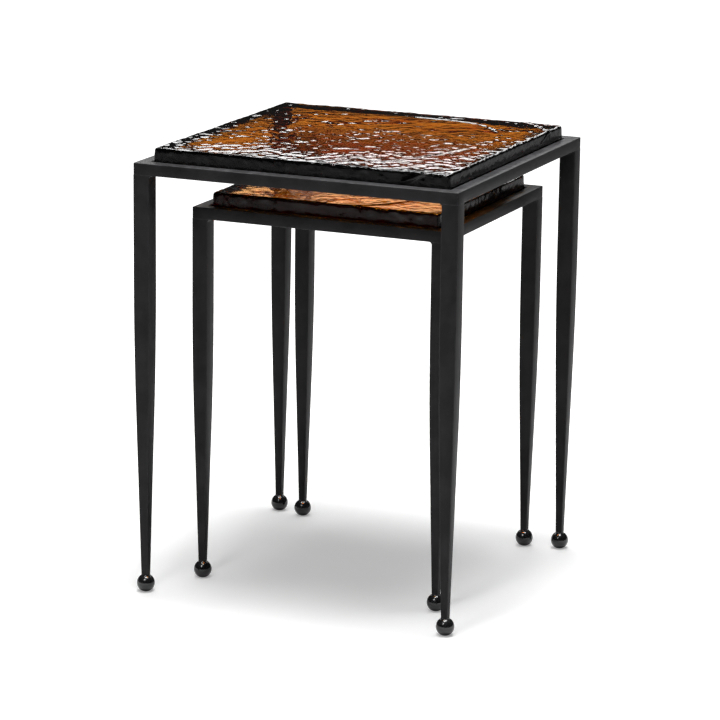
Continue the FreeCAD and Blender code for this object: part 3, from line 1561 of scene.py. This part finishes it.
@dataclass
class NestingTable:
    """One table of the nest: frame, legs, feet, ledges, pads and glass."""

    name: str
    leg_width: float
    bend: float
    casting: Casting
    glass: bpy.types.Material
    finishes: Finishes

    def build(self) -> None:
        """Model and dress every piece of the table."""
        iron, ball = self.finishes.iron, self.finishes.ball
        top_frame = TopFrame(self.name, self.leg_width)
        for side, rail in zip(Side, top_frame.build()):
            self._hand_over(rail, f"rail_{side.label}", iron)
        for corner in Corner:
            leg = TaperedLeg(self.name, corner, self.leg_width, top_frame.low.z, self.bend).build()
            self._hand_over(leg, f"leg_{corner.label}", iron)
            foot = BallFoot(self.name, corner).build()
            self._hand_over(foot, f"ball_foot_{corner.label}", ball)
        for side in Side:
            strip = LedgeStrip(self.name, side).build()
            self._hand_over(strip, f"ledge_{side.label}", iron)
        pads = GlassPads(self.name).build()
        self._hand_over(pads, "glass_pads", self.finishes.bumper)
        slab = CastSlab(self.name, self.casting).build()
        self._hand_over(slab, "glass_top", self.glass, body="glass")

    def _hand_over(
        self, piece: Piece, node: str, finish: bpy.types.Material, body: str = "table"
    ) -> None:
        """Dress a finished piece, and let it ride on its body and stand for its CAD node.

        Args:
            piece: The finished piece.
            node: The CAD node that it stands for, without the table's name.
            finish: Its material.
            body: The CAD body that it moves with, without the table's name.
        """
        piece.data.materials.clear()
        piece.data.materials.append(finish)
        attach(piece, f"{self.name}_{body}")
        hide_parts(f"{self.name}_{node}")
        faces = len(piece.data.polygons)
        LOG.info("%s: %d faces, rides on %s_%s", piece.name, faces, self.name, body)


# ---------------------------------------------------------------------------
# Studio
# ---------------------------------------------------------------------------


@dataclass(frozen=True)
class Softbox:
    """A soft rectangular light that the camera doesn't see."""

    name: str
    centre: Vector
    target: Vector
    width: float
    height: float
    radiance: float

    def build(self) -> None:
        """Hang the light."""
        data = bpy.data.lights.new(self.name, "AREA")
        data.shape = "RECTANGLE"
        data.size = self.width
        data.size_y = self.height
        data.energy = self.radiance * math.pi * self.width * self.height
        light = bpy.data.objects.new(self.name, data)
        bpy.context.scene.collection.objects.link(light)
        light.location = self.centre
        light.rotation_euler = (self.target - self.centre).to_track_quat("-Z", "Y").to_euler()
        light.visible_camera = False


@dataclass
class Studio:
    """Pale floor, dim surroundings, soft lights and the camera."""

    azimuth: float = 23.32  # degrees, camera to the right of the front
    elevation: float = 13.84
    roll: float = 0.717
    lens: float = 169.46
    distance: float = 4.6325
    aim_height: float = 0.295
    aim_shift: tuple[float, float] = (-0.00012, -0.00301)
    bounces: int = 16

    def build(self) -> None:
        """Set the stage up."""
        self._floor()
        self._surroundings()
        self._lights()
        self._camera()
        scene = bpy.context.scene
        scene.view_settings.view_transform = "Standard"
        scene.view_settings.look = "None"
        scene.cycles.caustics_refractive = False
        scene.cycles.caustics_reflective = False
        scene.cycles.max_bounces = self.bounces
        scene.cycles.transmission_bounces = self.bounces

    def _floor(self) -> None:
        """A wide pale floor that stays white far from the lights.

        Its far part glows, by a different amount for what the camera sees straight, through
        glass and mirrored.
        """
        floor = add_primitive("studio_floor", bpy.ops.mesh.primitive_plane_add, size=90.0)
        bench = FinishBench("pale_floor")
        path = bench.add("ShaderNodeLightPath").outputs
        away = bench.add("ShaderNodeVectorMath", {0: bench.place()}, operation="LENGTH")
        near, far = 0.5, 2.0  # metres from the middle, between which the glow grows
        seen, through, mirrored = (
            bench.maths("MULTIPLY", bench.span(away.outputs["Value"], near, far, *glow), path[kind])
            for kind, glow in (
                ("Is Camera Ray", (0.31, 1.2)),
                ("Is Transmission Ray", (0.1, 1.9)),
                ("Is Glossy Ray", (0.0, 0.22)),
            )
        )
        unseen = bench.maths("MAXIMUM", through, mirrored)
        bench.fill(bench.shader, {
            "Base Color": (0.82, 0.82, 0.82, 1),
            "Roughness": 0.9,
            "Specular IOR Level": 0.1,
            "Emission Color": (1, 1, 1, 1),
            "Emission Strength": bench.maths("ADD", seen, unseen),
        })
        floor.data.materials.append(bench.material)

    def _surroundings(self) -> None:
        """A dim room, with a white backdrop that only the camera sees."""
        world = bpy.data.worlds.new("studio")
        bpy.context.scene.world = world
        world.use_nodes = True
        world.node_tree.nodes.clear()
        bench = NodeBench(world.node_tree)
        seen = bench.add("ShaderNodeLightPath").outputs["Is Camera Ray"]
        dim, white = (
            bench.add("ShaderNodeBackground", {"Color": (1, 1, 1, 1), "Strength": strength})
            for strength in (0.02, 1.05)
        )
        mix = bench.add("ShaderNodeMixShader", {0: seen, 1: dim.outputs[0], 2: white.outputs[0]})
        bench.add("ShaderNodeOutputWorld", {"Surface": mix.outputs[0]})

    def _lights(self) -> None:
        """The overhead bank, the strip behind the nest and a small side window."""
        angle = math.radians(self.azimuth)
        far = Vector((-math.sin(angle), math.cos(angle), 0))
        side = Vector((far.y, -far.x, 0))
        floor, top = Vector((0, 0, 0)), Z * 0.6
        window = side * -0.7 - far * 1.4 + Z * 1.6
        Softbox("overhead_bank", Vector((0.05, -0.04, 2.3)), floor, 1.1, 1.1, 24.0).build()
        Softbox("back_strip", far * 1.6 + Z * 1.21, top, 2.2, 0.28, 3.6).build()
        Softbox("left_window", window, Z * 0.2, 0.36, 0.64, 12.0).build()

    def _camera(self) -> None:
        """The camera, at its own angle and with a slight roll."""
        azimuth, elevation, roll = map(math.radians, (self.azimuth, self.elevation, self.roll))
        level = math.cos(elevation)
        forward = Vector(
            (-math.sin(azimuth) * level, math.cos(azimuth) * level, -math.sin(elevation))
        )
        level_right = forward.cross(Z).normalized()
        level_up = level_right.cross(forward)
        right = level_right * math.cos(roll) + level_up * math.sin(roll)
        up = level_up * math.cos(roll) - level_right * math.sin(roll)
        data = bpy.data.cameras.new("studio_camera")
        data.lens = self.lens
        data.sensor_width = 36.0
        data.clip_end = 200.0
        camera = bpy.data.objects.new("studio_camera", data)
        bpy.context.scene.collection.objects.link(camera)
        aim = Z * self.aim_height - right * self.aim_shift[0] - up * self.aim_shift[1]
        turn = Matrix((right, up, -forward)).transposed().to_4x4()
        camera.matrix_world = Matrix.Translation(aim - forward * self.distance) @ turn
        bpy.context.scene.camera = camera


def main() -> None:
    """Build the finishes, both tables and the studio."""
    logging.basicConfig(level=logging.INFO, format="%(message)s")
    finishes = Finishes.build()
    outer_casting = Casting(
        rings=(
            PourRing(177 * MM, strong_at=(60.0, -30.0)),
            PourRing(247 * MM, strong_at=(45.0,), reach=14.0, faint=0.0),
        ),
        calm_place=(95 * MM, 105 * MM),
        shift=0.37,
        smoke_reach=(80 * MM, 110 * MM, 30 * MM, 40 * MM),
        folds=(
            FoldMark((-66 * MM, 0, 10 * MM), (-34 * MM, 1 * MM, 25 * MM)),
            FoldMark((0, 325 * MM, 10 * MM), (-1 * MM, 365 * MM, 24 * MM)),
        ),
    )
    inner_casting = Casting(
        rings=(PourRing(140 * MM, strong_at=(100.0, -60.0)),),
        calm_place=(-60 * MM, -60 * MM),
        shift=1.21,
        smoke_reach=(25 * MM, 5 * MM, 25 * MM, 35 * MM),
    )
    tables = (
        NestingTable("outer", 22.6 * MM, 340.0 * MM, outer_casting, finishes.deep_glass, finishes),
        NestingTable("inner", 22.2 * MM, 299.0 * MM, inner_casting, finishes.pale_glass, finishes),
    )
    for table in tables:
        table.build()
        LOG.info("%s table built", table.name)
    Studio().build()


if __name__ == "__main__":
    main()
